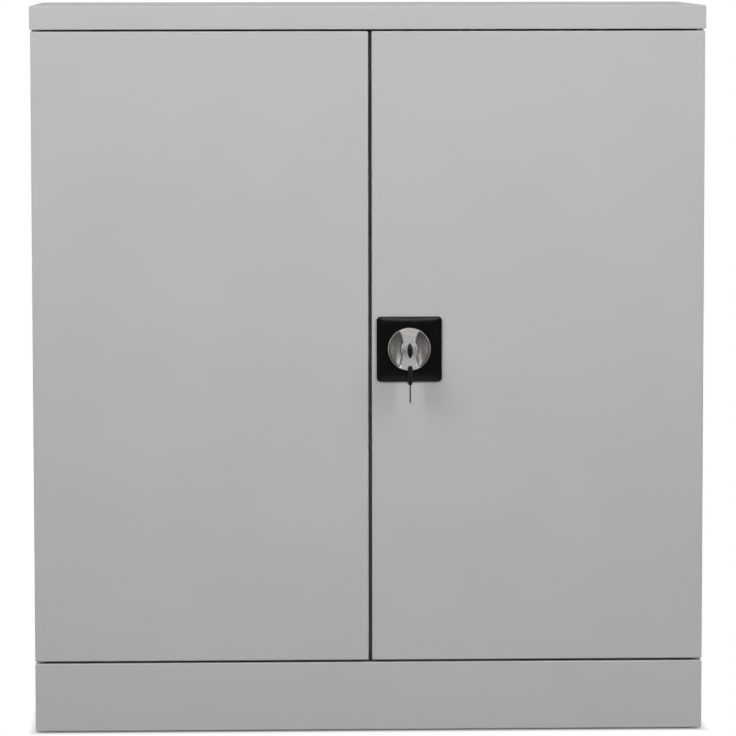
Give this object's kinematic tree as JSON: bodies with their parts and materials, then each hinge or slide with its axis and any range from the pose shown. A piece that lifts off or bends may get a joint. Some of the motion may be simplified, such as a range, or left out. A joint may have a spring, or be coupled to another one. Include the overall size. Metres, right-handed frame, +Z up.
{
  "type": "metal storage cabinet",
  "caption": "Low steel storage cabinet with double doors on pivot hinges, a key-locking turn handle that throws lock rods and a tongue, and shelves on clips.",
  "frame": {"origin": "on the floor, under the middle of the whole object's box, keys included", "axes": "+Z up, +X to the right of someone facing the doors, +Y towards the back; the doors face -Y"},
  "size_m": [0.923, 0.445, 1],
  "materials": {
    "light_grey_powder_coat": "light grey powder coat, fine texture, low sheen",
    "black_plastic": "black moulded plastic, glossy on the lock plate",
    "satin_zinc": "die-cast zinc with a satin nickel finish",
    "bright_zinc": "bright zinc-plated steel",
    "white_nylon": "moulded natural nylon",
    "black_rubber": "matt black rubber"
  },
  "bodies": {
    "carcass": {"side_panel_left": "light_grey_powder_coat", "side_panel_right": "light_grey_powder_coat", "back_panel": "light_grey_powder_coat", "top_cap": "light_grey_powder_coat", "top_rail": "light_grey_powder_coat", "door_stop_rail": "light_grey_powder_coat", "base_panel": "light_grey_powder_coat", "plinth_front": "light_grey_powder_coat", "glide_left_front": "black_plastic", "glide_left_rear": "black_plastic", "glide_right_front": "black_plastic", "glide_right_rear": "black_plastic", "upright_left_front": "bright_zinc", "upright_left_rear": "bright_zinc", "upright_right_front": "bright_zinc", "upright_right_rear": "bright_zinc", "shelf_lower": "light_grey_powder_coat", "shelf_upper": "light_grey_powder_coat", "shelf_clip_lower_left_front": "bright_zinc", "shelf_clip_lower_left_rear": "bright_zinc", "shelf_clip_lower_right_front": "bright_zinc", "shelf_clip_lower_right_rear": "bright_zinc", "shelf_clip_upper_left_front": "bright_zinc", "shelf_clip_upper_left_rear": "bright_zinc", "shelf_clip_upper_right_front": "bright_zinc", "shelf_clip_upper_right_rear": "bright_zinc", "hinge_pin_left_bottom": "bright_zinc", "hinge_pin_left_top": "bright_zinc", "hinge_pin_right_bottom": "bright_zinc", "hinge_pin_right_top": "bright_zinc", "buffer_left_bottom": "black_rubber", "buffer_left_top": "black_rubber", "buffer_right_bottom": "black_rubber", "buffer_right_top": "black_rubber"},
    "left_door": {"door_left": "light_grey_powder_coat", "door_left_stiffener": "light_grey_powder_coat", "hinge_bush_left_bottom": "white_nylon", "hinge_bush_left_top": "white_nylon", "meeting_strip": "light_grey_powder_coat"},
    "right_door": {"door_right": "light_grey_powder_coat", "door_right_stiffener": "light_grey_powder_coat", "hinge_bush_right_bottom": "white_nylon", "hinge_bush_right_top": "white_nylon", "lock_housing": "black_plastic", "lock_clamp": "bright_zinc", "rod_guide_upper": "white_nylon", "rod_guide_lower": "white_nylon"},
    "handle": {"turn_handle": "satin_zinc", "lock_barrel": "satin_zinc", "latch_cam": "bright_zinc", "handle_nut": "bright_zinc"},
    "upper_rod": {"lock_rod_upper": "bright_zinc"},
    "lower_rod": {"lock_rod_lower": "bright_zinc"},
    "key": {"key_plug": "satin_zinc", "key_blade": "bright_zinc", "key_bow": "black_plastic"},
    "ring": {"key_ring": "bright_zinc"},
    "spare_key": {"spare_key_blade": "bright_zinc", "spare_key_bow": "black_plastic"}
  },
  "joints": [
    {"name": "left_door_hinge", "type": "hinge", "parent": "carcass", "child": "left_door", "pos_m": [-0.4532, -0.16448, 0.0997], "axis": [0, 0, -1], "range_deg": [0, 105]},
    {"name": "right_door_hinge", "type": "hinge", "parent": "carcass", "child": "right_door", "pos_m": [0.4532, -0.16448, 0.0997], "axis": [0, 0, 1], "range_deg": [0, 105]},
    {"name": "handle_turn", "type": "hinge", "parent": "right_door", "child": "handle", "pos_m": [0.0554, -0.17747, 0.53055], "axis": [0, -1, 0], "range_deg": [0, 90]},
    {"name": "upper_rod_slide", "type": "slide", "parent": "right_door", "child": "upper_rod", "axis": [0, 0, 1], "range_m": [0, 0.02546]},
    {"name": "lower_rod_slide", "type": "slide", "parent": "right_door", "child": "lower_rod", "axis": [0, 0, -1], "range_m": [0, 0.02546]},
    {"name": "key_turn", "type": "hinge", "parent": "handle", "child": "key", "pos_m": [0.0554, -0.18548, 0.53055], "axis": [0, -1, 0], "range_deg": [0, 90]},
    {"name": "ring_swing", "type": "hinge", "parent": "key", "child": "ring", "pos_m": [0.0554, -0.21177, 0.52958], "axis": [-1, 0, 0], "range_deg": [-8, 60]},
    {"name": "spare_key_swing", "type": "hinge", "parent": "ring", "child": "spare_key", "pos_m": [0.0554, -0.21177, 0.50498], "axis": [-1, 0, 0], "range_deg": [-10, 40]}
  ],
  "couplings": [
    {"joint": "upper_rod_slide", "follows": "handle_turn", "m_per_rad": 0.0162},
    {"joint": "lower_rod_slide", "follows": "handle_turn", "m_per_rad": 0.0162}
  ]
}
